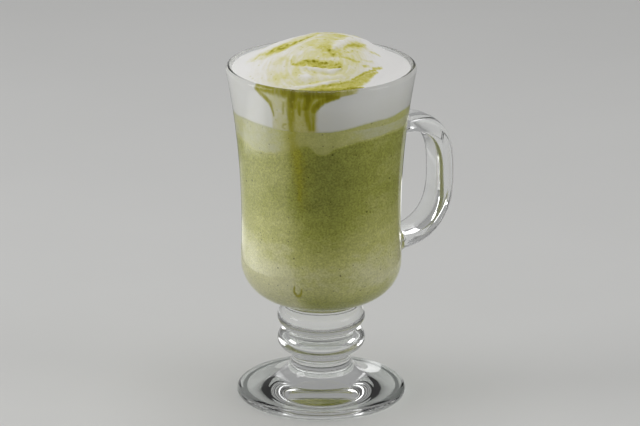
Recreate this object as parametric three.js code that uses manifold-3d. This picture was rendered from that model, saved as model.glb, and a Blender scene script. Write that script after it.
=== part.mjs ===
// A matcha latte in a footed glass mug: one piece of clear glass with a ringed stem, a round foot and
// an ear-shaped handle, filled with three layers of drink that heap up above the rim.
// Millimetres, +Z up. The origin is the centre of the foot's flat underside, and the handle points along +X.
import * as THREE from "three";
import { mergeVertices } from "three/addons/utils/BufferGeometryUtils.js";
import Module from "manifold-3d";

const wasm = await Module();
wasm.setup();

// Glass: overall sizes
const RIM_HEIGHT = 147;
const RIM_RADIUS = 40.2;
const WALL = 2.9;
const SEGMENTS = 40;
const SLIVER = 0.01;

// Glass: bowl. The wall is a parabola that is narrowest at the waist and flares to the rim.
const WAIST_HEIGHT = 79;
const WAIST_RADIUS = 33.9;
const BOWL_TURN_HEIGHT = 61.3;
const BOWL_TURN_RADIUS = 17.2;
const FLOOR_TURN_HEIGHT = 64;
const FLOOR_TURN_RADIUS = 15.5;
const FLOOR_DISH = 0.5;

// Glass: stem with two round rings
const RING_RADIUS = 18.8;
const RING_TUBE = 5;
const UPPER_RING_HEIGHT = 35.6;
const LOWER_RING_HEIGHT = 25.4;
const NECK_RADIUS = 15.6;
const NECK_HEIGHT = 41.6;
const STEM_RADIUS = 12.7;
const STEM_HEIGHT = 18.2;

// Glass: foot
const FOOT_RADIUS = 36.2;
const FOOT_EDGE = 2.2;
const FOOT_RISE_AT_STEM = 7.2;

// Glass: handle, a rounded flat bar on an ear-shaped line whose upper half is squarer than its lower half
const HANDLE_MIDDLE_HEIGHT = 90.5;
const HANDLE_REACH = 57.8;
const HANDLE_HALF_HEIGHT = 26;
const HANDLE_UPPER_SQUARENESS = 3.2;
const HANDLE_LOWER_SQUARENESS = 2.4;
const HANDLE_UPPER_ROOT = 34.1;
const HANDLE_LOWER_ROOT = 32.6;
const HANDLE_WIDTH = 15.6;
const HANDLE_THICKNESS = 8.2;
const HANDLE_SECTION_SQUARENESS = 3;
const HANDLE_ROOT_SPREAD = 1.2;
const HANDLE_ROOT_LENGTH = 7;
const HANDLE_SIDES = 12;
const HANDLE_STEPS = 22;

// Drink: layers, from below: green latte, pale milk, white foam. GAP parts neighbouring solids.
const GAP = 0.3;
const LATTE_LEVEL = 119.6;
const LATTE_TILT = 4.6;
const FOAM_LEVEL = 128.6;
const FOAM_TILT = 1.3;
const HIGH_SIDE = THREE.MathUtils.degToRad(-28);
const LAYER_WAVE = 0.55;
const LAYER_WAVE_COUNT = 5;
const LAYER_RINGS = 6;

// Drink: foam mound, with a spiral fold stirred into its top
const FOAM_EDGE_HEIGHT = 145.9;
const FOAM_PEAK = 13.3;
const FOAM_FULLNESS = 1.3;
const PEAK_SHIFT = 2.4;
const SWIRL_HEIGHT = 0.5;
const SWIRL_PITCH = 11;
const SWIRL_REACH = 0.87;
const FOAM_RINGS = 14;

const glassLook = new THREE.MeshStandardMaterial({
  color: 0xf4f8f7,
  roughness: 0.03,
  metalness: 0,
  transparent: true,
  opacity: 0.35,
});
const latteLook = new THREE.MeshStandardMaterial({ color: 0x9ba05c, roughness: 0.55, metalness: 0 });
const milkLook = new THREE.MeshStandardMaterial({ color: 0xb9ba90, roughness: 0.55, metalness: 0 });
const foamLook = new THREE.MeshStandardMaterial({ color: 0xe9e8e0, roughness: 0.8, metalness: 0 });

// Points of a circular arc in the (radius, height) plane.
function arc(radius, height, turn, fromDegrees, toDegrees, steps) {
  return Array.from({ length: steps + 1 }, (_, i) => {
    const angle = THREE.MathUtils.degToRad(fromDegrees + ((toDegrees - fromDegrees) * i) / steps);
    return new THREE.Vector2(radius + turn * Math.cos(angle), height + turn * Math.sin(angle));
  });
}

// The bowl wall's outer radius.
const lipHeight = RIM_HEIGHT - WALL / 2;
const flare = (RIM_RADIUS - WAIST_RADIUS) / (lipHeight - WAIST_HEIGHT) ** 2;
const outerRadius = (height) => WAIST_RADIUS + flare * (height - WAIST_HEIGHT) ** 2;

// The hollow's radius: the wall's inner face above the rounded bottom, and the rounding below.
const floorHeight = FLOOR_TURN_HEIGHT - FLOOR_TURN_RADIUS;
const floorTurnCentre = outerRadius(FLOOR_TURN_HEIGHT) - WALL - FLOOR_TURN_RADIUS;
function innerRadius(height) {
  if (height >= FLOOR_TURN_HEIGHT) return outerRadius(height) - WALL;
  const drop = FLOOR_TURN_HEIGHT - height;
  return floorTurnCentre + Math.sqrt(FLOOR_TURN_RADIUS ** 2 - drop ** 2);
}

// Heights from one level to another, in equal steps.
function levels(from, to, steps) {
  return Array.from({ length: steps + 1 }, (_, i) => from + ((to - from) * i) / steps);
}

// Bowl, stem and foot in one outline, from the underside's centre round the outside to the hollow's floor.
function glassOutline() {
  const ringCentre = RING_RADIUS - RING_TUBE;
  const footTop = new THREE.QuadraticBezierCurve(
    new THREE.Vector2(FOOT_RADIUS - FOOT_EDGE, 2 * FOOT_EDGE),
    new THREE.Vector2(STEM_RADIUS, FOOT_RISE_AT_STEM),
    new THREE.Vector2(STEM_RADIUS, STEM_HEIGHT),
  );
  const wallStart = BOWL_TURN_HEIGHT;
  const outerWall = levels(wallStart, lipHeight, 7).map((z) => new THREE.Vector2(outerRadius(z), z));
  const innerWall = levels(lipHeight, FLOOR_TURN_HEIGHT, 6).map((z) => new THREE.Vector2(innerRadius(z), z));
  const bowlTurnCentre = outerRadius(wallStart) - BOWL_TURN_RADIUS;
  return [
    new THREE.Vector2(0, 0),
    ...arc(FOOT_RADIUS - FOOT_EDGE, FOOT_EDGE, FOOT_EDGE, -90, 75, 5),
    ...footTop.getPoints(6),
    ...arc(ringCentre, LOWER_RING_HEIGHT, RING_TUBE, -68, 72, 6),
    ...arc(ringCentre, UPPER_RING_HEIGHT, RING_TUBE, -72, 66, 6),
    new THREE.Vector2(NECK_RADIUS, NECK_HEIGHT),
    ...arc(bowlTurnCentre, BOWL_TURN_HEIGHT, BOWL_TURN_RADIUS, -84, 0, 6).slice(0, -1),
    ...outerWall.slice(0, -1),
    ...arc(RIM_RADIUS - WALL / 2, lipHeight, WALL / 2, 0, 180, 5),
    ...innerWall.slice(1, -1),
    ...arc(floorTurnCentre, FLOOR_TURN_HEIGHT, FLOOR_TURN_RADIUS, 0, -90, 5),
    new THREE.Vector2(0, floorHeight - FLOOR_DISH),
  ];
}

// A closed solid from rings of points with the same count. Each end closes on its own hub point.
function loft(rings, startHub, endHub) {
  const count = rings[0].length;
  const points = [startHub, ...rings.flat(), endHub];
  const last = points.length - 1;
  const index = [];
  for (let i = 0; i < count; i++) {
    const next = (i + 1) % count;
    index.push(0, 1 + next, 1 + i);
    for (let k = 0; k + 1 < rings.length; k++) {
      const low = 1 + k * count;
      const high = low + count;
      index.push(low + i, low + next, high + next, low + i, high + next, high + i);
    }
    const top = 1 + (rings.length - 1) * count;
    index.push(top + i, top + next, last);
  }
  return new THREE.BufferGeometry().setFromPoints(points).setIndex(index);
}

// A point's sign-keeping power, for rounded-square curves.
const bulge = (value, squareness) => Math.sign(value) * Math.abs(value) ** (2 / squareness);

// The handle's middle line, from its lower root (0) over the grip to its upper root (1).
function handleLine(share) {
  const angle = (share - 0.5) * Math.PI;
  const squareness = angle < 0 ? HANDLE_LOWER_SQUARENESS : HANDLE_UPPER_SQUARENESS;
  const root = angle < 0 ? HANDLE_LOWER_ROOT : HANDLE_UPPER_ROOT;
  return new THREE.Vector3(
    root + (HANDLE_REACH - root) * bulge(Math.cos(angle), squareness),
    0,
    HANDLE_MIDDLE_HEIGHT + HANDLE_HALF_HEIGHT * bulge(Math.sin(angle), squareness),
  );
}

// The handle: rounded-square sections set square to its line, spreading where they join the bowl.
function handleGeometry() {
  const dense = Array.from({ length: 241 }, (_, i) => handleLine(i / 240));
  const line = new THREE.CatmullRomCurve3(dense);
  const length = line.getLength();
  const across = new THREE.Vector3(0, 1, 0);
  const rings = Array.from({ length: HANDLE_STEPS + 1 }, (_, k) => {
    const share = k / HANDLE_STEPS;
    const centre = line.getPointAt(share);
    const inward = new THREE.Vector3().crossVectors(line.getTangentAt(share), across).normalize();
    const fromRoot = Math.min(share, 1 - share) * length;
    const spread = 1 + (HANDLE_ROOT_SPREAD - 1) * Math.max(0, 1 - fromRoot / HANDLE_ROOT_LENGTH) ** 2;
    return Array.from({ length: HANDLE_SIDES }, (_, i) => {
      const angle = (2 * Math.PI * i) / HANDLE_SIDES;
      const sideways = (spread * HANDLE_WIDTH * bulge(Math.cos(angle), HANDLE_SECTION_SQUARENESS)) / 2;
      const depth = (spread * HANDLE_THICKNESS * bulge(Math.sin(angle), HANDLE_SECTION_SQUARENESS)) / 2;
      return centre.clone().addScaledVector(across, sideways).addScaledVector(inward, depth);
    });
  });
  return loft(rings, line.getPointAt(0), line.getPointAt(1));
}

// A geometry as a manifold-3d solid, and back.
function toSolid(geometry) {
  const bare = geometry.clone();
  bare.deleteAttribute("normal");
  bare.deleteAttribute("uv");
  const merged = mergeVertices(bare, 1e-3);
  return new wasm.Manifold(
    new wasm.Mesh({
      numProp: 3,
      vertProperties: new Float32Array(merged.attributes.position.array),
      triVerts: new Uint32Array(merged.index.array),
    }),
  );
}
function toGeometry(solid) {
  const { vertProperties, triVerts } = solid.getMesh();
  const geometry = new THREE.BufferGeometry()
    .setAttribute("position", new THREE.BufferAttribute(vertProperties, 3))
    .setIndex(new THREE.BufferAttribute(triVerts, 1));
  geometry.computeVertexNormals();
  return geometry;
}

// A lathe turns about Y, so it is stood up on Z.
function glassGeometry() {
  const body = new THREE.LatheGeometry(glassOutline(), SEGMENTS, Math.PI / SEGMENTS).rotateX(Math.PI / 2);
  return toGeometry(toSolid(body).add(toSolid(handleGeometry())).simplify(SLIVER));
}

// The level between two layers: it leans towards HIGH_SIDE and waves a little, more so near the wall.
function layerHeight(level, tilt, share, angle) {
  const lean = tilt * Math.cos(angle - HIGH_SIDE);
  const wave = LAYER_WAVE * Math.sin(LAYER_WAVE_COUNT * angle + 0.8) + LAYER_WAVE * Math.sin(3 * angle - 0.5);
  return level + share * (lean + share * wave);
}
const latteTop = (share, angle) => layerHeight(LATTE_LEVEL, LATTE_TILT, share, angle);
const foamBottom = (share, angle) => layerHeight(FOAM_LEVEL, FOAM_TILT, share, angle);

// The foam's top: a mound that leans a little off centre, with the stirred spiral fold.
function foamTop(share, angle) {
  const shift = (PEAK_SHIFT / drinkRadius(FOAM_EDGE_HEIGHT)) * Math.cos(angle - HIGH_SIDE);
  const reach = Math.min(1, Math.max(0, share - shift * (1 - share ** 2)));
  const mound = FOAM_PEAK * (1 - reach ** 2) ** FOAM_FULLNESS;
  const turns = (share * drinkRadius(FOAM_EDGE_HEIGHT)) / SWIRL_PITCH;
  const fade = Math.sin(Math.PI * Math.min(1, share / SWIRL_REACH)) ** 2;
  const fold = SWIRL_HEIGHT * fade * Math.cos(angle - 2 * Math.PI * turns);
  return FOAM_EDGE_HEIGHT + mound + fold;
}

// Where the drink meets the glass, a gap inside the hollow.
const drinkRadius = (height) => innerRadius(Math.min(height, lipHeight)) - GAP;

// A layer of drink: its underside from the middle to the wall, up the wall, and its top back to the middle.
// bottom and top give the height at a share of the radius and an angle.
function layerGeometry(bottom, top, topRings, wallSteps) {
  const around = levels(0, 2 * Math.PI, SEGMENTS).slice(0, -1);
  const outwards = levels(0, 1, LAYER_RINGS).slice(1);
  const inwards = levels(1, 0, topRings).slice(0, -1);
  const point = (radius, angle, height) =>
    new THREE.Vector3(radius * Math.cos(angle), radius * Math.sin(angle), height);
  const face = (height) => (share) =>
    around.map((angle) => point(share * drinkRadius(height(1, angle)), angle, height(share, angle)));
  const wall = levels(0, 1, wallSteps).slice(1, -1);
  const side = (rise) =>
    around.map((angle) => {
      const height = THREE.MathUtils.lerp(bottom(1, angle), top(1, angle), rise);
      return point(drinkRadius(height), angle, height);
    });
  const rows = [...outwards.map(face(bottom)), ...wall.map(side), ...inwards.map(face(top))];
  return loft(rows, point(0, 0, bottom(0, 0)), point(0, 0, top(0, 0)));
}

// The latte's underside follows the hollow's rounded floor.
function latteGeometry() {
  const around = levels(0, 2 * Math.PI, SEGMENTS).slice(0, -1);
  const point = (radius, angle, height) =>
    new THREE.Vector3(radius * Math.cos(angle), radius * Math.sin(angle), height);
  const underside = arc(floorTurnCentre, FLOOR_TURN_HEIGHT, FLOOR_TURN_RADIUS - GAP, -90, 0, 5);
  const lowRows = underside.map(({ x, y }) => around.map((angle) => point(x, angle, y)));
  const wall = levels(0, 1, 6).slice(1, -1);
  const sideRows = wall.map((rise) =>
    around.map((angle) => {
      const height = THREE.MathUtils.lerp(FLOOR_TURN_HEIGHT, latteTop(1, angle), rise);
      return point(drinkRadius(height), angle, height);
    }),
  );
  const shares = levels(1, 0, LAYER_RINGS).slice(0, -1);
  const topRows = shares.map((share) =>
    around.map((angle) => point(share * drinkRadius(latteTop(1, angle)), angle, latteTop(share, angle))),
  );
  const floorMiddle = point(0, 0, floorHeight - FLOOR_DISH + GAP);
  return loft([...lowRows, ...sideRows, ...topRows], floorMiddle, point(0, 0, latteTop(0, 0)));
}

function milkGeometry() {
  const bottom = (share, angle) => latteTop(share, angle) + GAP;
  return layerGeometry(bottom, foamBottom, LAYER_RINGS, 3);
}

function foamGeometry() {
  const bottom = (share, angle) => foamBottom(share, angle) + GAP;
  return layerGeometry(bottom, foamTop, FOAM_RINGS, 4);
}

function part(name, geometry, material) {
  const mesh = new THREE.Mesh(geometry, material);
  mesh.name = name;
  return mesh;
}

const drink = new THREE.Group();
drink.add(
  part("latte", latteGeometry(), latteLook),
  part("milk_layer", milkGeometry(), milkLook),
  part("foam", foamGeometry(), foamLook),
);

const mug = new THREE.Group();
mug.add(part("glass", glassGeometry(), glassLook), drink);

export default mug;
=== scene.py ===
"""A matcha latte in a footed glass mug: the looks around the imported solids.

Sizes are in millimetres in the drawing code and in metres on the meshes.
The row frame has the handle along +X. Patterns on the drink are drawn in a turned frame
whose -Y faces the camera, because that is the side shown.
"""

import math

import bpy
import numpy as np
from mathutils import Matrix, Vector


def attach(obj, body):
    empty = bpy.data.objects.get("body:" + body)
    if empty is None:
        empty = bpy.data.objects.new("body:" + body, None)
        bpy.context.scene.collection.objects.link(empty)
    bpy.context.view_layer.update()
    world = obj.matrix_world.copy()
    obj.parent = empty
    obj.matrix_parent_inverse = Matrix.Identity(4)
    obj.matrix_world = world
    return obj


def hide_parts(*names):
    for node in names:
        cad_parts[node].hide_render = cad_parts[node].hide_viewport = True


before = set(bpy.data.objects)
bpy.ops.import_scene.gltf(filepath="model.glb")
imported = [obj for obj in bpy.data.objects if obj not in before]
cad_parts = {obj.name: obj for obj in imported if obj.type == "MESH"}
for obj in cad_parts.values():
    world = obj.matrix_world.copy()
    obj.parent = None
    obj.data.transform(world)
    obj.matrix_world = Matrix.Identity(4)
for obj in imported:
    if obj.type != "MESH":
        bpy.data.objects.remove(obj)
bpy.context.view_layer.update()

MM = 0.001
SHOWN_TURN = math.radians(-28)  # turns the pattern frame into the row frame

# Glass, as in the solids
RIM_Z, RIM_R, WALL = 147.0, 40.2, 2.9
LIP_Z = RIM_Z - WALL / 2
WAIST_Z, WAIST_R = 79.0, 33.9
TURN_Z, TURN_R = 61.3, 17.2
FLOOR_Z, FLOOR_R = 64.0, 15.5
FLOOR_DISH = 0.5
RING_R, RING_TUBE, RING_ZS = 18.8, 5.0, (25.4, 35.6)
NECK_R, NECK_Z = 15.6, 41.6
STEM_R, STEM_Z, STEM_RISE = 12.7, 18.2, 7.2
FOOT_R, FOOT_EDGE = 36.2, 2.2
# Shallow recess under the foot, in the scene alone
RECESS_R, RECESS_H = 31.0, 0.4

# Handle, as in the solids; a pair is for its lower and its upper half
HANDLE_Z, HANDLE_REACH, HANDLE_RISE = 90.5, 57.8, 26.0
HANDLE_SQUARE = (2.4, 3.2)
HANDLE_ROOT = (32.6, 34.1)
HANDLE_W, HANDLE_T, HANDLE_CORNER = 15.6, 8.2, 3.0
# Hollow fillets at the handle's roots, where the solids only spread
FILLET, FILLET_RUN = 2.3, 4.5

# Drink: how far it reaches into the wall, then the foam's mound
INTO_WALL = 0.15
FOAM_EDGE_Z, FOAM_PEAK, FOAM_FULL, PEAK_SHIFT = 145.9, 13.3, 1.3, 2.4
# Heights on the axis where one layer of the drink ends and the next begins
LATTE_TOP, MILK_LOW, MILK_TOP, FOAM_LOW = 120.5, 120.6, 129.4, 129.5
LATTE_FLOOR = FLOOR_Z - FLOOR_R - 0.3
# Height of the drink at the wall, where the foam has risen off it
DRINK_LEVEL = 128.1
# Width of one degree of the wall, for patterns drawn on it unrolled
MM_PER_DEGREE = 0.62

# Points round each mesh and rows up it
GLASS_AROUND, AROUND, FOAM_AROUND = 160, 432, 512
LATTE_ROWS, MILK_ROWS, FOAM_ROWS, TOP_ROWS = 110, 34, 42, 144
FLOOR_STEPS = 22
HANDLE_STEPS, HANDLE_AROUND, HANDLE_FINE = 141, 40, 2001
# Shares of the radius at which rows close a layer's top or underside
COVER = (0.97, 0.85, 0.6, 0.3)

# Stage
FLOOR_HALF = 2500
WORLD_LIGHT = 0.32

# Camera, as fitted to the photograph: place in metres, angle down, and lens in pixels of its width
CAMERA_AT = (0, -1.6, 0.615)
LOOK_DOWN = 18.45
SENSOR = 36
PHOTO_W, FOCAL_PX, CENTRE_PX = 640, 3966, -1.2

# Large primes for the noise lattice
HASH_AXES = np.array([73856093, 19349663, 83492791])
HASH_SEED, HASH_FIRST, HASH_SECOND = 2654435761, 2246822519, 3266489917
HASH_BITS = 0xFFFFFFFF
HASH_HALF = 0x7FFFFFFF


def srgb(r, g, b):
    """A display colour, 0 to 255, as scene-linear."""
    c = np.array([r, g, b]) / 255
    return tuple(float(v) for v in np.where(c <= 0.04045, c / 12.92, ((c + 0.055) / 1.055) ** 2.4))


def smooth(x, low, high):
    """0 at low, 1 at high and smooth between; low may be the larger of the two."""
    t = np.clip((x - low) / (high - low), 0, 1)
    return t * t * (3 - 2 * t)


def noise(points, seed):
    """Smooth value noise, -1 to 1, at points (n, 3) on a lattice of 1."""
    base = np.floor(points).astype(np.int64)
    f = points - base
    f = f * f * f * (f * (f * 6 - 15) + 10)
    total = np.zeros(len(points))
    for corner in range(8):
        step = np.array([corner & 1, corner >> 1 & 1, corner >> 2 & 1])
        k = (base + step) * HASH_AXES
        h = (k[:, 0] ^ k[:, 1] ^ k[:, 2] ^ (seed * HASH_SEED)) & HASH_BITS
        h = ((h ^ (h >> 15)) * HASH_FIRST) & HASH_BITS
        h = ((h ^ (h >> 13)) * HASH_SECOND) & HASH_BITS
        h = (h ^ (h >> 16)) & HASH_BITS
        w = np.prod(np.where(step, f, 1 - f), axis=1)
        total += w * (h / HASH_HALF - 1)
    return total


def fbm(points, size, seed, octaves=3):
    """Layered noise, about -1 to 1, with its largest features about size across.

    The size may be one number for each axis.
    """
    p = points / np.asarray(size, float)
    spread = 1.6  # brings the sum back to about -1 to 1
    return sum(noise(p * 2**k, seed + k) / 2**k for k in range(octaves)) / spread


def curve(points, steps=8):
    """A smooth line through rows of values, by Catmull-Rom."""
    p = np.asarray(points, float)
    q = np.vstack([2 * p[0] - p[1], p, 2 * p[-1] - p[-2]])
    t = np.linspace(0, 1, steps, endpoint=False)[:, None]
    rows = []
    for a, b, c, d in zip(q[:-3], q[1:-2], q[2:-1], q[3:]):
        square = 2 * a - 5 * b + 4 * c - d
        cube = 3 * b - a - 3 * c + d
        rows.append(0.5 * (2 * b + (c - a) * t + square * t**2 + cube * t**3))
    return np.vstack([*rows, p[-1:]])


def stroke(at, points):
    """1 on a line through (x, y, half width) points, 0 at its half width and below 0 beyond it."""
    line = curve(points)
    best = np.full(len(at), -9.0)
    for a, b in zip(line[:-1], line[1:]):
        d = b[:2] - a[:2]
        t = np.clip((at - a[:2]) @ d / max(d @ d, 1e-9), 0, 1)
        gap = np.hypot(*(at - a[:2] - t[:, None] * d).T)
        best = np.maximum(best, 1 - gap / (a[2] + t * (b[2] - a[2])))
    return best


def strongest(strokes, at, low, high):
    """The strongest of some strokes at points of a plane; each fades out as its line's value drops to low."""
    best = np.zeros(len(at))
    for strength, points in strokes:
        best = np.maximum(best, strength * smooth(stroke(at, points), low, high))
    return best


def arc(r, z, turn, start, end, steps):
    """Points of radius and height on an arc between two angles in degrees."""
    a = np.radians(np.linspace(start, end, steps + 1))
    return np.stack([r + turn * np.cos(a), z + turn * np.sin(a)], 1)


def outer_r(z):
    """The bowl's outer radius."""
    z = np.asarray(z, float)
    flare = (RIM_R - WAIST_R) / (LIP_Z - WAIST_Z) ** 2
    wall = WAIST_R + flare * (np.maximum(z, TURN_Z) - WAIST_Z) ** 2
    drop = np.clip(TURN_Z - z, 0, TURN_R)
    return wall - TURN_R + np.sqrt(TURN_R**2 - drop**2)


def inner_r(z):
    """The hollow's radius."""
    z = np.asarray(z, float)
    wall = outer_r(np.maximum(z, FLOOR_Z)) - WALL
    drop = np.clip(FLOOR_Z - z, 0, FLOOR_R)
    return wall - FLOOR_R + np.sqrt(FLOOR_R**2 - drop**2)


def soften(points, rounds=2):
    """Rounds a line's corners by cutting them, keeping its ends."""
    p = np.asarray(points, float)
    for _ in range(rounds):
        near, far = 0.75 * p[:-1] + 0.25 * p[1:], 0.25 * p[:-1] + 0.75 * p[1:]
        p = np.vstack([p[:1], np.stack([near, far], 1).reshape(-1, p.shape[1])[1:-1], p[-1:]])
    return p


def skin(rows, start=None, end=None):
    """Vertices and faces of a closed tube of rows of points, closed at each end on a middle point."""
    rows = [np.asarray(r, float) for r in rows]
    n, k = len(rows[0]), len(rows)
    start = rows[0].mean(0) if start is None else np.asarray(start, float)
    end = rows[-1].mean(0) if end is None else np.asarray(end, float)
    verts = np.vstack([*rows, start, end])
    i = np.arange(n)
    j = (i + 1) % n
    quads = [np.stack([r * n + i, r * n + j, (r + 1) * n + j, (r + 1) * n + i], 1) for r in range(k - 1)]
    caps = [[n * k, b, a] for a, b in zip(i, j)]
    caps += [[n * k + 1, (k - 1) * n + a, (k - 1) * n + b] for a, b in zip(i, j)]
    return verts, [*np.vstack(quads).tolist(), *[[int(v) for v in f] for f in caps]]


def piece(name, verts, faces, material, **values):
    """A smooth mesh from millimetres, with one float attribute for each named row of values."""
    mesh = bpy.data.meshes.new(name)
    mesh.from_pydata((np.asarray(verts) * MM).tolist(), [], faces)
    mesh.polygons.foreach_set("use_smooth", [True] * len(mesh.polygons))
    for key, row in values.items():
        mesh.attributes.new(key, "FLOAT", "POINT").data.foreach_set("value", np.asarray(row, np.float32))
    mesh.materials.append(material)
    obj = bpy.data.objects.new(name, mesh)
    bpy.context.scene.collection.objects.link(obj)
    return obj


# Materials


class Nodes:
    """A short way to write a material's node tree."""

    def __init__(self, name):
        self.material = bpy.data.materials.new(name)
        self.material.use_nodes = True
        self.tree = self.material.node_tree
        self.tree.nodes.clear()
        self.out = self.add("ShaderNodeOutputMaterial")

    def add(self, kind, ins=None, **settings):
        node = self.tree.nodes.new(kind)
        for key, value in settings.items():
            setattr(node, key, value)
        for key, value in (ins or {}).items():
            self.put(node.inputs[key], value)
        return node

    def put(self, socket, value):
        if isinstance(value, bpy.types.NodeSocket):
            self.tree.links.new(value, socket)
        else:
            socket.default_value = value

    def value(self, name):
        return self.add("ShaderNodeAttribute", attribute_name=name).outputs["Fac"]

    def math(self, kind, a, b, c=0.0):
        node = self.add("ShaderNodeMath", operation=kind)
        for socket, v in zip(node.inputs, (a, b, c)):
            self.put(socket, v)
        return node.outputs[0]

    def step(self, x, low, high):
        """A smooth step from 0 at low to 1 at high."""
        ins = {"Value": x, "From Min": low, "From Max": high}
        return self.add("ShaderNodeMapRange", ins, interpolation_type="SMOOTHSTEP").outputs[0]

    def mix(self, factor, a, b, kind="MIX"):
        node = self.add("ShaderNodeMix", data_type="RGBA", blend_type=kind)
        for socket, v in ((node.inputs[0], factor), (node.inputs[6], a), (node.inputs[7], b)):
            self.put(socket, (*v, 1) if isinstance(v, tuple) and len(v) == 3 else v)
        return node.outputs[2]

    def at(self, stretch=(1, 1, 1)):
        where = self.add("ShaderNodeTexCoord").outputs["Object"]
        return self.add("ShaderNodeMapping", {"Vector": where, "Scale": stretch}).outputs[0]

    def noise(self, scale, detail=3.0, rough=0.55, stretch=(1, 1, 1)):
        ins = {"Vector": self.at(stretch), "Scale": scale, "Detail": detail, "Roughness": rough}
        return self.add("ShaderNodeTexNoise", ins).outputs["Fac"]

    def specks(self, scale, size, share):
        """1 inside small dots, in that share of the cells."""
        cell = self.add("ShaderNodeTexVoronoi", {"Vector": self.at(), "Scale": scale})
        pick = self.add("ShaderNodeSeparateColor", {"Color": cell.outputs["Color"]}).outputs[0]
        dot = self.step(cell.outputs["Distance"], size, size * 0.4)
        return self.math("MULTIPLY", dot, self.math("LESS_THAN", pick, share))

    def bump(self, height, strength, distance):
        ins = {"Height": height, "Strength": strength, "Distance": distance}
        return self.add("ShaderNodeBump", ins).outputs[0]

    def done(self, shader):
        """Puts a shader out and gives back the material."""
        self.put(self.out.inputs[0], shader.outputs[0])
        return self.material


# Colours of the drink, of wet powder on the wall, of dry powder and of the foam
GREEN_DEEP = srgb(146, 149, 69)
GREEN = srgb(173, 175, 87)
GREEN_PALE = srgb(206, 205, 134)
LATTE_PALE = srgb(225, 222, 178)
MILK_PALE = srgb(210, 209, 175)
MATCHA_RUN = srgb(173, 167, 42)
RUN_DARK = srgb(140, 134, 8)
MATCHA_LIGHT = srgb(211, 206, 130)
MATCHA = srgb(190, 184, 82)
MATCHA_DARK = srgb(136, 130, 20)
FOAM_WHITE = srgb(236, 235, 233)
FOAM_GREY = srgb(227, 224, 210)
FOAM_CREAM = srgb(218, 214, 162)
SPECK = srgb(52, 52, 12)


def glass_material():
    """Clear, slightly wavy glass that lets the lamps' light straight through."""
    n = Nodes("clear_glass")
    wave = n.noise(38, 2.0)
    shader = n.add(
        "ShaderNodeBsdfPrincipled",
        {
            "Base Color": (0.985, 0.995, 0.99, 1),
            "Roughness": n.math("MULTIPLY_ADD", n.noise(90), 0.02, 0.0),
            "IOR": 1.5,
            "Transmission Weight": 1.0,
            "Normal": n.bump(wave, 0.12, 0.0006),
        },
    )
    clear = n.add("ShaderNodeBsdfTransparent", {"Color": (0.865, 0.885, 0.875, 1)})
    lamp = n.add("ShaderNodeLightPath").outputs["Is Shadow Ray"]
    both = n.add("ShaderNodeMixShader", {0: lamp, 1: shader.outputs[0], 2: clear.outputs[0]})
    return n.done(both)


def drink_material(name, pale, grain_depth, speck_depth):
    """The green drink and its pale band.

    Of its values creamy goes from deep green to milk, with painted light and shade in it on the drink, run is
    powder that ran down the wall and dust is the dark line along the drink's level.
    """
    n = Nodes(name)
    mottle = n.noise(300, 4.0, 0.6, (1, 1, 1.5))
    cloud = n.noise(55, 2.0, 0.5, (1, 1, 2.0))
    fine = n.noise(1250, 2.0, 0.65)
    creamy = n.value("creamy")
    # Mottles, clouds and fine grain shift how milky it looks
    for wave, amount in ((mottle, 0.38), (cloud, 0.3), (fine, 0.14)):
        creamy = n.math("MULTIPLY_ADD", n.math("SUBTRACT", wave, 0.5), amount, creamy)
    ramp = n.add("ShaderNodeValToRGB", {"Fac": creamy})
    stops = ramp.color_ramp.elements
    stops[0].position, stops[0].color = 0.0, (*GREEN_DEEP, 1)
    stops[1].position, stops[1].color = 1.0, (*pale, 1)
    for place, colour in ((0.35, GREEN), (0.75, GREEN_PALE)):
        stop = stops.new(place)
        stop.color = (*colour, 1)
    # Powder that ran down, then grain that is stronger where it is green
    run = n.math("MULTIPLY", n.value("run"), n.math("MULTIPLY_ADD", mottle, 1.2, 0.4))
    colour = n.mix(n.step(run, 0.02, 1.1), ramp.outputs[0], MATCHA_RUN)
    depth = n.math("MULTIPLY_ADD", n.value("creamy"), -0.8 * grain_depth, 1.35 * grain_depth)
    grain = n.math("MULTIPLY_ADD", n.math("SUBTRACT", fine, 0.5), depth, 1.0)
    colour = n.mix(1.0, colour, grain, "MULTIPLY")
    # Small and large specks, and the dusty line
    colour = n.mix(n.math("MULTIPLY", n.specks(520, 0.2, 0.2), 0.6), colour, SPECK)
    colour = n.mix(n.math("MULTIPLY", n.specks(250, 0.14, 0.16), speck_depth), colour, SPECK)
    line = n.math("MULTIPLY", n.specks(700, 0.24, 0.5), n.value("dust"))
    colour = n.mix(n.math("MULTIPLY", line, 0.8), colour, SPECK)
    shader = n.add(
        "ShaderNodeBsdfPrincipled",
        {
            "Base Color": colour,
            "Roughness": n.math("MULTIPLY_ADD", mottle, 0.2, 0.4),
            "Specular IOR Level": 0.05,
            "Normal": n.bump(mottle, 0.1, 0.0005),
        },
    )
    return n.done(shader)


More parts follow.
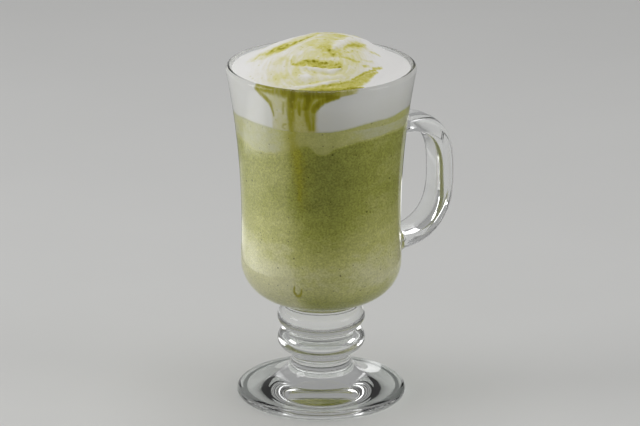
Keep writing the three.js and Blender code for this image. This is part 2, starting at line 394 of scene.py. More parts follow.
def foam_material():
    """White foam.

    Of its values warm is its cream tint, creamy the pale milk at its lower edge, matcha the powder on it,
    run the wet powder that ran down the wall and dust its fine loose grains.
    """
    n = Nodes("milk_foam")
    grain = n.noise(760, 2.0, 0.65)
    cloud = n.noise(120, 3.0, 0.6)
    patch = n.noise(340, 2.0, 0.6)
    # White to grey to cream, and pale milk at the lower edge
    warm = n.math("MULTIPLY", n.value("warm"), n.math("MULTIPLY_ADD", patch, 1.5, 0.25))
    warm = n.math("MULTIPLY_ADD", n.math("SUBTRACT", cloud, 0.5), 0.4, warm)
    colour = n.mix(n.step(warm, 0.0, 0.55), FOAM_WHITE, FOAM_GREY)
    colour = n.mix(n.step(warm, 0.35, 1.15), colour, FOAM_CREAM)
    colour = n.mix(n.value("creamy"), colour, MILK_PALE)
    # Powder from a light veil to dark heaps
    powder = n.math("MULTIPLY", n.value("matcha"), n.math("MULTIPLY_ADD", grain, 1.3, 0.35))
    powder = n.math("MULTIPLY", powder, n.math("MULTIPLY_ADD", patch, 0.5, 0.75))
    colour = n.mix(n.step(powder, 0.05, 0.7), colour, MATCHA_LIGHT)
    colour = n.mix(n.step(powder, 0.42, 1.05), colour, MATCHA)
    colour = n.mix(n.step(powder, 0.85, 1.5), colour, MATCHA_DARK)
    # Wet runs with fine upright streaks
    streak = n.noise(900, 2.0, 0.6, (1, 1, 0.15))
    run = n.math("MULTIPLY", n.value("run"), n.math("MULTIPLY_ADD", streak, 1.1, 0.45))
    colour = n.mix(n.step(run, 0.05, 0.9), colour, MATCHA_RUN)
    colour = n.mix(n.step(run, 0.7, 1.6), colour, RUN_DARK)
    # Loose grains, and dark grit in the heaps
    dust = n.step(n.value("dust"), 0.1, 0.9)
    loose = n.math("MULTIPLY", n.specks(520, 0.3, 0.3), dust)
    colour = n.mix(n.math("MULTIPLY", loose, 0.55), colour, MATCHA)
    grit = n.math("MULTIPLY", n.specks(420, 0.16, 0.2), n.step(n.value("matcha"), 0.35, 0.9))
    colour = n.mix(n.math("MULTIPLY", grit, 0.6), colour, SPECK)
    bubbles = n.noise(2200, 2.0, 0.5)
    shader = n.add(
        "ShaderNodeBsdfPrincipled",
        {
            "Base Color": colour,
            "Roughness": n.math("MULTIPLY_ADD", cloud, 0.25, 0.5),
            "Specular IOR Level": 0.03,
            "Normal": n.bump(bubbles, 0.15, 0.0003),
        },
    )
    return n.done(shader)


def floor_material():
    n = Nodes("plain_floor")
    tone = n.noise(6, 4.0)
    colour = n.mix(tone, (0.64, 0.64, 0.63), (0.68, 0.68, 0.67))
    ins = {"Base Color": colour, "Roughness": 0.9, "Specular IOR Level": 0.0}
    shader = n.add("ShaderNodeBsdfPrincipled", ins)
    return n.done(shader)


# Glass


def glass_outline():
    """From the underside's middle round the outside, over the lip and down to the hollow's floor."""
    ring_c = RING_R - RING_TUBE
    t = np.linspace(0, 1, 13)[:, None]
    edge = np.array((FOOT_R - FOOT_EDGE, 2 * FOOT_EDGE))
    corner = np.array((STEM_R, STEM_RISE))
    top = np.array((STEM_R, STEM_Z))
    foot_top = (1 - t) ** 2 * edge + 2 * t * (1 - t) * corner + t**2 * top
    recess = np.linspace(0, RECESS_R, 9)
    floor_c = float(outer_r(FLOOR_Z)) - WALL - FLOOR_R
    wall = np.linspace(TURN_Z, LIP_Z, 22)
    hollow = np.linspace(LIP_Z, FLOOR_Z, 22)
    low, high = RING_ZS
    parts = [
        np.stack([recess, RECESS_H * (1 - (recess / RECESS_R) ** 4)], 1),
        [(RECESS_R + 1, 0)],
        arc(FOOT_R - FOOT_EDGE, FOOT_EDGE, FOOT_EDGE, -90, 75, 9),
        foot_top,
        arc(ring_c, low, RING_TUBE, -66, 74, 11),
        arc(ring_c, high, RING_TUBE, -74, 66, 11),
        [(NECK_R, NECK_Z)],
        arc(float(outer_r(TURN_Z)) - TURN_R, TURN_Z, TURN_R, -84, 0, 12)[:-1],
        np.stack([outer_r(wall), wall], 1)[:-1],
        arc(RIM_R - WALL / 2, LIP_Z, WALL / 2, 0, 180, 10),
        np.stack([outer_r(hollow) - WALL, hollow], 1)[1:-1],
        arc(floor_c, FLOOR_Z, FLOOR_R, 0, -90, 10),
        [(floor_c / 2, FLOOR_Z - FLOOR_R - FLOOR_DISH * 0.75), (0, FLOOR_Z - FLOOR_R - FLOOR_DISH)],
    ]
    return soften(np.vstack(parts))


def turned(outline, around):
    """A closed body of revolution from an outline that starts and ends on the axis."""
    a = np.linspace(0, 2 * np.pi, around, endpoint=False)
    rows = [np.stack([r * np.cos(a), r * np.sin(a), np.full(around, z)], 1) for r, z in outline[1:-1]]
    return skin(rows, (0, 0, outline[0][1]), (0, 0, outline[-1][1]))


def bulge(v, square):
    """Turns a circle's coordinate into that of a squarer ring; square 2 is the circle itself."""
    return np.sign(v) * np.abs(v) ** (2 / square)


def handle():
    """A rounded flat bar on the ear-shaped line, with hollow fillets where it meets the bowl."""
    a = np.linspace(-np.pi / 2, np.pi / 2, HANDLE_FINE)
    square, root = (np.where(a < 0, *pair) for pair in (HANDLE_SQUARE, HANDLE_ROOT))
    out = root + (HANDLE_REACH - root) * bulge(np.cos(a), square)
    up = HANDLE_Z + HANDLE_RISE * bulge(np.sin(a), square)
    line = np.stack([out, up], 1)
    run = np.r_[0, np.cumsum(np.hypot(*np.diff(line, axis=0).T))]
    at = np.linspace(0, run[-1], HANDLE_STEPS)
    mid = np.stack([np.interp(at, run, line[:, k]) for k in (0, 1)], 1)
    along = np.gradient(mid, axis=0)
    along /= np.hypot(*along.T)[:, None]
    turn = np.linspace(0, 2 * np.pi, HANDLE_AROUND, endpoint=False)
    side, deep = (bulge(f(turn), HANDLE_CORNER) for f in (np.cos, np.sin))
    sideways = np.array((0, 1, 0))
    rows = []
    for (x, z), (tx, tz) in zip(mid, along):
        inward = np.array([-tz, 0, tx])
        middle = np.array([x, 0, z])
        base = middle + np.outer(side * HANDLE_W / 2, sideways) + np.outer(deep * HANDLE_T / 2, inward)
        off = np.hypot(base[:, 0], base[:, 1]) - outer_r(base[:, 2])
        grow = FILLET * np.clip(1 - off / FILLET_RUN, 0, 1) ** 2
        spread = np.outer(np.cos(turn), sideways) + np.outer(np.sin(turn), inward)
        rows.append(base + grow[:, None] * spread)
    return skin(rows)


def make_glass(material):
    """Bowl, stem, foot and handle, joined into one closed mesh."""
    body = piece("mug_glass", *turned(glass_outline(), GLASS_AROUND), material)
    bar = piece("handle_bar", *handle(), material)
    join = body.modifiers.new("join", "BOOLEAN")
    join.operation, join.solver, join.object = "UNION", "MANIFOLD", bar
    view = bpy.context.evaluated_depsgraph_get()
    joined = bpy.data.meshes.new_from_object(body.evaluated_get(view))
    body.modifiers.clear()
    body.data = joined
    joined.polygons.foreach_set("use_smooth", [True] * len(joined.polygons))
    bpy.data.objects.remove(bar)
    return body


# Drink: the pattern frame has x to the shown right and y away from the camera.
# A bearing is 0 at the shown front and grows towards the shown right.


def to_row(points):
    """Points of the pattern frame in the row frame."""
    c, s = math.cos(SHOWN_TURN), math.sin(SHOWN_TURN)
    x, y, z = np.asarray(points).T
    return np.stack([c * x - s * y, s * x + c * y, z], 1)


def bearing_of(p):
    return np.arctan2(p[:, 0], -p[:, 1])


def bearings(around):
    return np.linspace(-np.pi, np.pi, around, endpoint=False)


def ring(b, r, z):
    """A row of points round the axis at bearings b."""
    return np.stack([r * np.sin(b), -r * np.cos(b), np.broadcast_to(z, b.shape)], 1)


def by_bearing(table):
    """A smooth level round the wall through pairs of a bearing in degrees and a height."""
    line = curve(table)
    return lambda b: np.interp(np.degrees(b), line[:, 0], line[:, 1])


# Where the green drink ends and the pale band begins
milk_bottom = by_bearing([
    (-180, 121), (-140, 119.5), (-76, 118), (-64, 117.5), (-54, 115.3), (-42, 115.5), (-28, 117.5),
    (-11, 121.5), (-3, 118.3), (1, 117.8), (5, 118.5), (10, 120.8), (20, 122.2), (40, 123.5), (60, 123.7),
    (85, 122.5), (120, 121.4), (140, 119.6), (156, 121.2), (180, 121),
])
# Where the pale band ends and the foam begins
foam_bottom = by_bearing([
    (-180, 129.2), (-140, 128.6), (-90, 127.9), (-58, 128.7), (-30, 128), (0, 128), (10, 128.3),
    (32, 130.4), (40, 130.7), (55, 130.7), (66, 131.4), (92, 130.4), (120, 129.6), (150, 129.9), (180, 129.2),
])

# Powder that ran down inside the wall: strength, then points of bearing in degrees, height and half width
RUNS = [
    (0.75, [(-44, 145, 0.8), (-30, 145, 1.3), (-24, 145, 1.8)]),
    (1.05, [(-24, 145, 1.6), (-18, 145, 2.2), (-8, 145.2, 2.2), (3, 146, 1.9), (10, 146.3, 1.4)]),
    (1.25, [(-20, 144, 1.0), (-9, 145, 1.4), (0, 144.5, 1.1), (7, 144.7, 0.8)]),
    (0.4, [(10, 146, 1.8), (19, 145.7, 0.9)]),
    (0.85, [(-44, 145, 0.9), (-38, 142, 0.9), (-35, 140.3, 0.8), (-33.5, 138, 0.5), (-32.5, 134, 0.3)]),
    (1.3, [(-18.5, 143.5, 1.8), (-19, 139.5, 1.5)]),
    (0.95, [(-19.2, 140, 1.6), (-20, 133.5, 1.3)]),
    (0.65, [(-20, 135, 1.5), (-20.3, 131, 1.5), (-20, 127, 1.9)]),
    (0.75, [(-13.5, 143.5, 1.4), (-14, 139, 1.0), (-14, 136, 0.5)]),
    (0.5, [(-24.5, 141, 0.5), (-25.5, 135.7, 0.4)]),
    (0.5, [(-23.5, 131.2, 0.4), (-25.8, 130.8, 0.5), (-26.4, 129.6, 0.5), (-25, 128.9, 0.4)]),
    (0.5, [(-25.7, 124.8, 0.4), (-21, 125.1, 0.5)]),
    (1.3, [(-8, 144, 1.7), (-9.5, 139, 1.3)]),
    (0.8, [(-9.5, 141, 1.3), (-8.7, 134, 1.1), (-7, 129.5, 0.9)]),
    (1.2, [(10, 144.2, 0.9), (3.5, 143.2, 1.1), (-1, 141.5, 1.2), (-4, 139, 1.1), (-5, 137.5, 0.8)]),
    (0.7, [(-5.2, 138, 1.0), (-5.4, 135, 0.9), (-5.2, 129.5, 0.8)]),
    (0.5, [(161, 145.6, 2.2), (164, 136, 1.6), (164.5, 131, 1.0)]),
]
# Paler stain in the drink below the runs, and at the back of the foam
DRINK_STAINS = [
    (0.9, [(-20, 130, 2.6), (-20, 123, 2.8), (-17.5, 117, 3.0), (-16.5, 108, 2.6), (-16, 98, 1.5)]),
    (0.45, [(-18, 130, 6.0), (-17, 117, 6.5), (-15, 104, 4.5), (-15, 94, 2.5)]),
]
BACK_STAIN = [(0.3, [(163, 145, 6), (164, 132, 4), (164, 118, 2)])]
# The stained foam stands between two arches of clean foam: heights and bearings of its edges
STAIN_LEFT = ((128, 134, 137.5, 140, 143, 145.5, 147), (-34.3, -33.7, -34.2, -36, -40, -45, -48))
STAIN_RIGHT = ((128, 131.5, 135.5, 138.6, 141, 142.7, 144, 145, 147), (-4, -5, -5, -4, -1, 3.5, 10, 20, 30))
# A drop low on the wall
DROP = [
    (1.3, [
        (-20.7, 58.5, 0.4), (-21.3, 56.3, 0.6), (-19.3, 54.5, 0.8), (-16.4, 55.3, 0.7), (-15.2, 57.5, 0.4),
    ]),
]


def shaken(p, seed):
    """Two rows of noise that make an edge on the wall ragged and brushed."""
    return np.stack([fbm(p, (1.6, 1.6, 5.0), seed), fbm(p, (2.5, 2.5, 2.5), seed + 9)], 1)


def brushed(p):
    """Upright streaks and crumbs, about 1, strongest near the rim."""
    deg = np.degrees(bearing_of(p))
    near_rim = smooth(p[:, 2], 139, 144) * smooth(deg, -30, -20) * smooth(deg, 10, -4)
    streak = fbm(p, (0.8, 0.8, 3.6), 44, 2) * (0.2 + 0.4 * near_rim)
    return np.clip(1 + streak + 0.1 * fbm(p, (1.3, 1.3, 1.6), 47), 0.2, 2)


def on_wall(strokes, p, shake, soft=1.3):
    """The strongest of some strokes on the unrolled wall; soft is how far past its half width each fades."""
    at = np.stack([np.degrees(bearing_of(p)) * MM_PER_DEGREE, p[:, 2]], 1) + shake
    paths = []
    for strength, points in strokes:
        paths.append((strength, [(deg * MM_PER_DEGREE, height, half) for deg, height, half in points]))
    return strongest(paths, at, -soft, 1.0)


def stained(p, shake):
    """The stain on the foam's side, 0 to 1, stronger towards the shown right."""
    deg = np.degrees(bearing_of(p)) + 0.35 * shake[:, 0]
    left, right = (np.interp(p[:, 2], *edge) for edge in (STAIN_LEFT, STAIN_RIGHT))
    inside = smooth(deg, left - 1.2, left + 1.2) * smooth(deg, right + 4.5, right - 1.5)
    return inside * (0.6 + 0.4 * smooth(deg, -25, -15))


def wall_rows(b, low, high, count):
    """Rows of points up the wall, between two heights by bearing."""
    rows = []
    for share in np.linspace(0, 1, count):
        z = low + share * (high - low)
        rows.append(ring(b, inner_r(z) + INTO_WALL, z))
    return rows


def flat_rows(edge, middle, shares):
    """Rows from an edge row towards a middle height, at shares of its radius."""
    rows = []
    for s in shares:
        z = middle + (edge[:, 2] - middle) * s
        rows.append(np.stack([edge[:, 0] * s, edge[:, 1] * s, z], 1))
    return rows


def wedge(p):
    """1 between the drink's level and the foam where the foam has risen off it, on the shown right."""
    deg = np.degrees(bearing_of(p))
    return smooth(p[:, 2], DRINK_LEVEL - 0.3, DRINK_LEVEL + 0.3) * smooth(deg, 5, 30) * smooth(deg, 120, 95)


def creamy_and_painted_light_at(p):
    """How milky the drink is at the wall, with painted light and shade in it: least under the pale band, more
    below, less at the floor.
    """
    b, z = bearing_of(p), p[:, 2]
    deg = np.degrees(b)
    # Paler further down, green again at the floor: the green at the floor is painted shade under the bowl's
    # turn, weaker on the lit left
    body = 0.13 + 0.44 * smooth(z, 100, 70) + 0.22 * smooth(z, 78, 62)
    body -= (0.43 - 0.35 * smooth(deg, -5, -25)) * smooth(z, 60, 50)
    # Milkier on the left of a soft upright edge, partly the drink's own tone and partly painted light from
    # the left
    left = smooth(deg + 3 * fbm(p, (6, 6, 14), 22), -10, -30) * smooth(deg, -150, -110)
    body += left * (0.4 - 0.17 * smooth(z, 95, 70))
    # Greenest at the middle of the front: painted dark reflection between the lamps
    body -= 0.1 * smooth(np.abs(deg - 2), 17, 5) * smooth(np.abs(z - 83), 22, 8)
    # Milkier on the right: painted light from the right lamp
    right = (0.14 + 0.1 * smooth(z, 64, 84)) * smooth(deg, 5, 45) * smooth(deg, 170, 130)
    body += right + 0.1 * fbm(p, (14, 14, 5), 21)
    # The pale band, thinner at the front and blurred on the left
    edge = milk_bottom(b) + 0.5 * fbm(p, (4, 4, 4), 31)
    milk = 0.94 - 0.29 * smooth(deg, -40, -20) * smooth(deg, 40, 5) - 0.16 * wedge(p)
    blur = 0.9 + 1.5 * smooth(deg, -4, -9) * smooth(deg, -100, -70)
    return body + (milk - body) * smooth(z, edge - blur, edge + blur)


def drink_values(p):
    """Creaminess with painted light and shade in it, runs and dust at points of the drink or of its pale
    band.
    """
    shake = shaken(p, 50)
    run = on_wall(RUNS, p, 0.3 * shake)
    stain = on_wall(DRINK_STAINS, p, 1.2 * shake)
    mark = on_wall(DROP, p, 0.2 * shake, 0.6)
    deg = np.degrees(bearing_of(p))
    dust = smooth(np.abs(p[:, 2] - DRINK_LEVEL - 0.3), 0.9, 0.2) * smooth(deg, 2, 12) * smooth(deg, 100, 70)
    run = np.maximum.reduce([0.6 * run, 0.8 * stain, mark, 0.22 * wedge(p)])
    return {"creamy": creamy_and_painted_light_at(p), "run": run, "dust": dust}


def make_drink(name, rows, low, high, material):
    """A layer of the drink from rows of points, closed on the axis at two heights."""
    p, faces = skin(rows, (0, 0, low), (0, 0, high))
    return piece(name, to_row(p), faces, material, **drink_values(p))


def make_latte(material):
    """The green drink, from the bowl's floor to the pale band."""
    b = bearings(AROUND)
    floor = arc(0, FLOOR_Z, FLOOR_R + INTO_WALL, -90, 0, FLOOR_STEPS)[1:]
    centre = float(outer_r(FLOOR_Z)) - WALL - FLOOR_R
    rows = [ring(b, centre + r, z) for r, z in floor]
    rows += wall_rows(b, np.full(AROUND, FLOOR_Z), milk_bottom(b), LATTE_ROWS)[1:]
    rows += flat_rows(rows[-1], LATTE_TOP, COVER)
    return make_drink("latte_drink", rows, LATTE_FLOOR, LATTE_TOP, material)


def make_milk(material):
    """The pale band between the drink and the foam."""
    b = bearings(AROUND)
    side = wall_rows(b, milk_bottom(b), foam_bottom(b), MILK_ROWS)
    rows = flat_rows(side[0], MILK_LOW, COVER[::-1]) + side + flat_rows(side[-1], MILK_TOP, COVER)
    return make_drink("milk_band", rows, MILK_LOW, MILK_TOP, material)


# Foam top, seen from above: strokes of powder as strength, then points of x, y and half width
POWDER = [
    # left arm
    (0.42, [(-25, -1, 3.5), (-21, -2, 4), (-17, -3, 3.5)]),
    (0.85, [(-20, -1.5, 2.6), (-16, -2.7, 3), (-12, -2, 2.5), (-8, -0.5, 2), (-4.5, 1.5, 1.4)]),
    (1.15, [(-17.8, -3.6, 0.9), (-16, -4.4, 0.9)]),
    (1.0, [(-15.4, -2.5, 0.8), (-14.2, -1.4, 0.8)]),
    (1.05, [(-12.6, -2.6, 0.8), (-10.6, -1.8, 0.9)]),
    (1.15, [(-9.3, -1.2, 0.8), (-7.6, 0, 0.9)]),
    (0.95, [(-6.2, 0.8, 0.7), (-4.4, 1.6, 0.7)]),
    # crown
    (0.55, [(2, -4, 1), (4, -2.5, 1.5), (6, -2.5, 1)]),
    (0.45, [(-0.5, -7, 0.8), (3.5, -6.5, 0.8)]),
    (0.5, [(-4.5, -8, 0.8), (-1.5, -8.5, 0.7)]),
    (0.55, [(-3, -11, 0.7), (2.5, -11.3, 0.8)]),
    (0.7, [(-1, -11, 1.4), (2, -11.7, 2.4), (4.5, -13.7, 2.7), (7, -15, 1.5)]),
    (0.95, [(3, -12.5, 0.9), (4.7, -15.5, 1.0)]),
    (0.6, [(6.5, 4.5, 1.7), (8.5, 2, 2.3), (10.5, 2.7, 1.7)]),
    (0.65, [(6.5, -4, 0.7), (8.5, -3, 0.9), (10, 0, 0.7)]),
    # right eye
    (0.5, [(9.5, -11.5, 0.5), (11, -9.5, 1), (14.5, -6, 2.4), (18, -2, 1)]),
    (0.95, [(11.5, -8.5, 0.6), (13.5, -6.8, 1.0), (16, -5.5, 1.1)]),
    (0.7, [(10, -11, 0.5), (11, -9.3, 0.6)]),
    (0.45, [(11, -13, 0.6), (14.5, -10.5, 0.7)]),
    (0.5, [(20.5, -6.5, 0.7), (24, -6, 0.7)]),
    (0.75, [(9, -17, 0.5), (12.5, -17.7, 0.7), (15.5, -17.5, 0.5)]),
    (0.5, [(17.5, -15.5, 0.6), (21.5, -14.5, 0.5)]),
    (0.6, [(18, -19, 0.5), (19.5, -18.5, 0.5)]),
    (0.6, [(21.5, -18.5, 0.5), (25, -15, 0.6)]),
    # mouth
    (0.95, [(-12, -20, 0.5), (-9, -20.3, 0.8), (-7, -21, 0.5)]),
    (0.9, [(-7.5, -19, 0.5), (-3, -20.5, 1.4), (1, -22, 1.8), (5, -22, 1.4), (7, -21.5, 0.8)]),
    (1.15, [(-3, -20, 0.6), (1, -21.2, 0.8), (6, -21.7, 0.7)]),
    (1.05, [(-3.5, -22.7, 0.5), (1, -23.2, 0.6), (5, -23.8, 0.5), (8, -23, 0.5)]),
    # front
    (0.35, [(-9.5, -23.5, 0.5), (-3, -26, 0.5), (3, -27.5, 0.5), (10, -26, 0.5)]),
    (0.36, [
        (-11, -28, 0.6), (-9, -26.3, 0.7), (-5, -26.8, 0.7),
        (-2.5, -28.8, 0.8), (-5, -30.7, 0.7), (-8, -31.6, 0.7),
    ]),
    (0.4, [(-13.5, -29.5, 0.5), (-9, -32, 0.8), (-6.5, -32.3, 0.6)]),
    (0.38, [(-7.5, -32.4, 0.5), (0, -31, 0.6), (6, -30, 0.6), (12, -28, 0.5)]),
    (0.5, [(-15, -26, 0.5), (-14, -27, 0.5)]),
    # back
    (0.6, [(-3.4, 5.6, 1.6), (1, 11, 2.4), (9, 14, 2.6), (15, 13, 1.6)]),
    (0.5, [(-24, 14, 1.5), (-18, 20, 2.4), (-9, 23.5, 2.4), (1, 24, 1.6)]),
    (0.4, [(10, 24, 1.4), (17, 20, 2), (22, 14, 1.4)]),
]
# The crescent along the front, with cleaner edges
RIM_POWDER = [
    (0.74, [(-9, -35, 0.5), (0, -34.6, 1.3), (7, -33.3, 1.9), (13, -30.9, 2.3)]),
    (0.74, [(13, -30.9, 2.3), (17, -27.3, 1.9), (20, -23.7, 1.2), (23, -19.6, 0.5)]),
    (1.2, [(-10, -36.3, 0.8), (0, -36.6, 1.6), (9, -35.2, 1.7), (17, -32.4, 1.0)]),
    (1.0, [(0.5, -33.5, 0.4), (7, -32.2, 0.5), (12.5, -29.7, 0.5)]),
    (0.95, [(13, -28.5, 0.4), (16, -25.5, 0.5), (19.5, -21.5, 0.5), (22.5, -18.7, 0.3)]),
]
# Wide faint powder between the strokes
TINTS = [
    (0.28, [(-18, -1, 5), (-8, -3, 6), (0, -7, 8), (5, -14, 8)]),
    (0.42, [(-17, -14, 4), (-13, -17, 5), (-8, -20, 4)]),
    (0.22, [(-7, -22, 5), (-1, -22, 7), (8, -24, 7)]),
    (0.15, [(-12, -29, 4), (-2, -32, 5), (8, -30, 5), (17, -25, 4)]),
    (0.26, [(8, 2, 6), (14, -7, 6), (15, -17, 6)]),
    (0.2, [(0, 8, 8), (9, 13, 7)]),
]
# Folds as height, then points of x, y and half width
FOLDS = [
    (0.35, [(-24, -9.3, 1.8), (-17, -9.7, 2.4), (-11.5, -7.5, 2.1), (-4, -1.7, 2.1), (-0.5, 1.5, 1.6)]),
    (0.6, [(-6.5, -23, 0.5), (-1.5, -25, 1.0), (3, -25.7, 1.0), (8, -24.2, 0.6)]),
    (0.55, [(5, -12, 0.8), (7, -9.2, 1.8), (11.5, -1.7, 2.7), (14, 2.5, 2.3)]),
    (0.75, [(-8.7, -28, 1.6), (-6.5, -28.5, 2.1), (-5, -29, 1.6)]),
    (0.4, [(-10.5, -33.5, 0.6), (-2.5, -33.3, 0.8), (7, -30.5, 0.6)]),
    (0.25, [(-12, -16, 0.9), (-10.5, -14, 1.5), (-6.5, -11.5, 2.2), (-1.5, -12.3, 1.4)]),
    (0.25, [(-6, -28, 0.8), (1, -29.2, 1.1), (8.5, -27.7, 0.8)]),
    (0.3, [(17, -6.7, 1.3), (19.5, -11, 2.0), (22, -13.6, 1.5)]),
    (0.3, [(-27, -6, 1.2), (-25.5, -14, 1.8), (-23, -23, 1.4)]),
    (0.2, [(-30, -4, 1.0), (-29, -12, 1.5), (-26.5, -20, 1.0)]),
    (0.35, [(-4, 9.5, 1.4), (3, 15.5, 2.2), (11, 17.6, 2.2), (19, 13, 1.4)]),
    (0.35, [(-20, 17, 1.4), (-12, 21, 2.2), (-2, 21.6, 1.6)]),
]


def mound(x, y):
    """The foam's top before its folds."""
    edge = float(inner_r(FOAM_EDGE_Z))
    r = np.hypot(x, y)
    share = np.clip(r / edge, 0, 1)
    lean = PEAK_SHIFT / edge * np.where(r > 0, x / np.maximum(r, 1e-9), 0) * (1 - share**2)
    reach = np.clip(share - lean, 0, 1)
    return FOAM_EDGE_Z + FOAM_PEAK * (1 - reach**2) ** FOAM_FULL


def top_values(x, y):
    """Powder, warmth, height of the folds and dust on the foam's top."""
    flat = np.stack([x, y, np.zeros_like(x)], 1)
    warp = np.stack([fbm(flat, 2.4, 70), fbm(flat, 2.4, 80)], 1)
    # Brush marks run round the swirl's middle at the front
    swirl = np.stack([x - 2, y + 20], 1)
    turn = np.arctan2(swirl[:, 1], swirl[:, 0])
    around = np.stack([turn * 2.4, np.hypot(*swirl.T) / 1.1, np.zeros_like(x)], 1)
    brush = 0.6 * noise(around, 90) + 0.4 * noise(around * 2.1, 91)
    at = flat[:, :2] + 0.8 * warp
    crumbs = fbm(flat, 1.6, 92)
    powder = strongest(POWDER, at, -2.0, 1.0)
    powder *= np.clip(1.0 + 0.4 * crumbs + 0.3 * brush, 0, 2)
    band = strongest(RIM_POWDER, flat[:, :2] + 0.3 * warp, -0.8, 0.6)
    powder = np.maximum(powder, band * np.clip(1.0 + 0.12 * crumbs + 0.15 * brush, 0, 2))
    tint = strongest(TINTS, at, -0.3, 1.0)
    # Folds rise and are whiter than the foam round them
    height = np.zeros(len(x))
    white = np.zeros(len(x))
    for rise, points in FOLDS:
        line = stroke(flat[:, :2] + 0.4 * warp, points)
        height = np.maximum(height, rise * smooth(line, -0.9, 1.0))
        white = np.maximum(white, min(1.0, 1.7 * rise) * smooth(line, -0.7, 1.0))
    # The cream tint keeps to an oval round the swirl and is weaker on the left
    far = np.hypot((x + 4) / 28, (y + 13) / 27)
    patchy = 0.9 + 0.3 * fbm(flat, 6, 95) + 0.45 * brush
    warm = smooth(far, 1.08, 0.6) * np.clip(patchy, 0.1, 1.4)
    warm *= 0.5 + 0.5 * np.maximum(smooth(x, -20, 0), smooth(y, -18, -26))
    tint *= np.clip(0.9 + 0.6 * fbm(flat, 4, 98) + 0.5 * brush, 0, 2)
    height += 0.35 * fbm(flat, 13, 96) + 0.07 * fbm(flat, 2.2, 97)
    height -= np.clip(powder, 0, 1) * (0.15 - 0.35 * crumbs)
    powder = np.maximum(powder, tint) * (1 - 0.75 * white)
    return powder, warm * (1 - 0.6 * white), height, smooth(far, 1.1, 0.8)


def make_foam(material):
    """The foam: its side at the wall, its mound with folds, and the patterns on both."""
    b = bearings(FOAM_AROUND)
    side = wall_rows(b, foam_bottom(b), np.full(FOAM_AROUND, FOAM_EDGE_Z), FOAM_ROWS)
    edge_r = np.hypot(side[-1][0, 0], side[-1][0, 1])
    top = []
    for s in np.linspace(1, 0, TOP_ROWS)[1:-1]:
        x, y = s * edge_r * np.sin(b), -s * edge_r * np.cos(b)
        top.append(ring(b, s * edge_r, mound(x, y)))
    under = flat_rows(side[0], FOAM_LOW, COVER[::-1])
    peak = float(mound(np.zeros(1), np.zeros(1))[0])
    p, faces = skin(under + side + top, (0, 0, FOAM_LOW), (0, 0, peak))
    first = FOAM_AROUND * (len(under) + len(side))
    on_top = np.zeros(len(p), bool)
    on_top[first:-2] = True
    on_top[-1] = True
    powder, warm, height, dust = top_values(p[:, 0], p[:, 1])
    share = np.hypot(p[:, 0], p[:, 1]) / edge_r
    p[:, 2] += np.where(on_top, height * smooth(share, 1.0, 0.9), 0)
    shake = shaken(p, 50)
    run = on_wall(RUNS, p, 0.2 * shake) * brushed(p)
    stain = np.maximum(stained(p, shake), on_wall(BACK_STAIN, p, 1.6 * shake))
    z = p[:, 2]
    lower = foam_bottom(bearing_of(p)) + 0.35 * fbm(p, (4, 4, 4), 33)
    values = {
        "matcha": np.where(on_top, powder, 0.55 * stain * stain),
        "run": np.where(on_top, 0, 1.1 * run),
        "warm": np.where(on_top, warm, np.maximum(1.4 * stain, 0.06)),
        "creamy": np.where(on_top, 0, smooth(z, lower + 1.1, lower - 0.3)),
        "dust": np.where(on_top, dust, stain),
    }
    return piece("foam_mound", to_row(p), faces, material, **values)


# Build

glass = make_glass(glass_material())
latte = make_latte(drink_material("matcha_latte", LATTE_PALE, 1.2, 0.8))
milk = make_milk(drink_material("pale_milk", MILK_PALE, 0.55, 0.45))
foam = make_foam(foam_material())
for made, node, slot in (
    (glass, "glass", "clear_glass"),
    (latte, "latte", "matcha_latte"),
    (milk, "milk_layer", "pale_milk"),
    (foam, "foam", "milk_foam"),
):
    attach(made, "root")
    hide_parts(node)

# Stage, light and camera

corners = np.array([(-1, -1, 0), (1, -1, 0), (1, 1, 0), (-1, 1, 0)], float)
floor = piece("floor", FLOOR_HALF * corners, [[0, 1, 2, 3]], floor_material())

world = bpy.data.worlds.new("studio")
bpy.context.scene.world = world
world.use_nodes = True
sky = world.node_tree.nodes["Background"]
sky.inputs["Color"].default_value = (1.0, 1.0, 1.0, 1)
sky.inputs["Strength"].default_value = WORLD_LIGHT


def softbox(name, place, aim, size, watts):
    """A soft lamp at a place in the pattern frame, in metres, turned towards aim."""
    data = bpy.data.lights.new(name, "AREA")
    data.shape, data.size, data.size_y, data.energy = "RECTANGLE", *size, watts
    obj = bpy.data.objects.new(name, data)
    bpy.context.scene.collection.objects.link(obj)
    start, end = (to_row(np.array([p]))[0] for p in (place, aim))
    obj.location = start
    obj.rotation_euler = Vector(end - start).to_track_quat("-Z", "Y").to_euler()
    obj.visible_camera = False


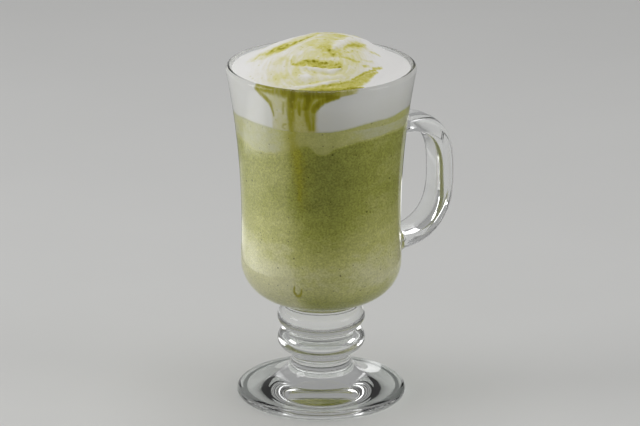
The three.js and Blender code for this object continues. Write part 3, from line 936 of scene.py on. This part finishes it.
def card_glow(b, z):
    """How bright the studio is that the glass reflects, by bearing in degrees and height.

    It is dark, with a bright sheet and a window on the left and a strip behind.
    """
    dark = 0.1 + 0.22 * smooth(z, 45, 115)
    # The sheet grows to the left, ends behind, and is brightest low down
    side = smooth(b, -55, -75)
    sheet = 0.72 * smooth(b, -26, -60) + 0.26 * smooth(b, -55, -90)
    sheet *= (1 - 0.5 * smooth(b, -100, -130)) * smooth(b, -165, -150)
    sheet *= side * smooth(z, 0, 8) + (1 - side) * smooth(z, 8, 18)
    sheet *= (1 + 1.3 * side * smooth(z, 19, 12)) * (1 - 0.6 * smooth(z, 36, 44))
    # The window stands on a slanted sill
    sill = z - 32.5 + 0.19 * (b + 89)
    window = 0.85 * smooth(sill, -0.7, 0.7) * smooth(b, -70, -77)
    window *= smooth(b, -132, -116)
    window *= smooth(z, 48, 42)
    strip = 1.5 * smooth(np.abs(b - 161), 11, 8) * smooth(np.abs(z - 18), 17, 13)
    return dark + strip + (sheet + window) * smooth(z, 118, 95)


def card(name, radius, height, across, up):
    """A round card that only shows as a soft reflection in the glass."""
    row = across + 1
    grid = np.meshgrid(np.linspace(-180, 180, row), np.linspace(1, height, up + 1))
    b, z = (g.ravel() for g in grid)
    i = np.add.outer(np.arange(up) * row, np.arange(across)).ravel()
    faces = np.stack([i, i + 1, i + row + 1, i + row], 1).tolist()
    n = Nodes(name)
    material = n.done(n.add("ShaderNodeEmission", {"Strength": n.value("glow")}))
    obj = piece(name, to_row(ring(np.radians(b), radius, z)), faces, material, glow=card_glow(b, z))
    obj.visible_camera = obj.visible_diffuse = obj.visible_transmission = obj.visible_shadow = False


card("studio_card", radius=200, height=120, across=144, up=119)
softbox("key_left", (-1.1, -0.15, 0.6), (0, 0, 0.08), (0.6, 0.9), 5.0)
softbox("fill_right", (1.0, -0.3, 0.5), (0, 0, 0.08), (0.5, 0.9), 2.25)
softbox("top", (0, 0.1, 1.3), (0, 0, 0.1), (0.9, 0.9), 5.5)

camera_data = bpy.data.cameras.new("camera")
camera_data.sensor_width = SENSOR
camera_data.lens = FOCAL_PX * SENSOR / PHOTO_W
camera_data.shift_x = CENTRE_PX / PHOTO_W
camera_data.clip_end = 20
camera = bpy.data.objects.new("camera", camera_data)
bpy.context.scene.collection.objects.link(camera)
camera.location = to_row(np.array([CAMERA_AT]))[0]
camera.rotation_euler = (math.radians(90 - LOOK_DOWN), 0, SHOWN_TURN)
bpy.context.scene.camera = camera
bpy.context.scene.view_settings.view_transform = "Standard"
